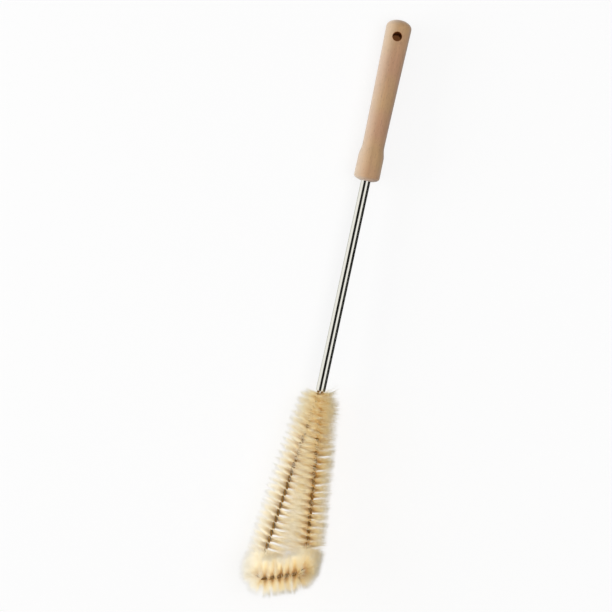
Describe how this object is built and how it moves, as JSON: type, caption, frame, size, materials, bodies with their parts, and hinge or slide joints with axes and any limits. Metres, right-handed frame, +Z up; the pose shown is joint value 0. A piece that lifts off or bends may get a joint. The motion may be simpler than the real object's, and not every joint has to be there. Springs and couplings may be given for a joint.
{
  "type": "bottle brush",
  "caption": "Long bottle brush with a turned wooden handle, a polished steel tube and a looped twisted-wire head of bristles with a raised nose.",
  "frame": {"origin": "middle of the object's box, on the surface that the brush lies on", "axes": "+Y towards the handle's butt, +Z up from the surface; the head's nose is bent up, towards +Z"},
  "size_m": [0.057, 0.399, 0.0457],
  "materials": {
    "beech": "sanded beech, unvarnished",
    "stainless_tube": "polished stainless steel",
    "core_wire": "drawn wire, dulled",
    "bristle": "natural bristle, pale at the tips"
  },
  "bodies": {
    "root": {"handle": "beech", "tube": "stainless_tube", "core_wire_a": "core_wire", "core_wire_b": "core_wire", "left_leg_bristles": "bristle", "nose_bristles": "bristle", "right_leg_bristles": "bristle"}
  },
  "joints": []
}
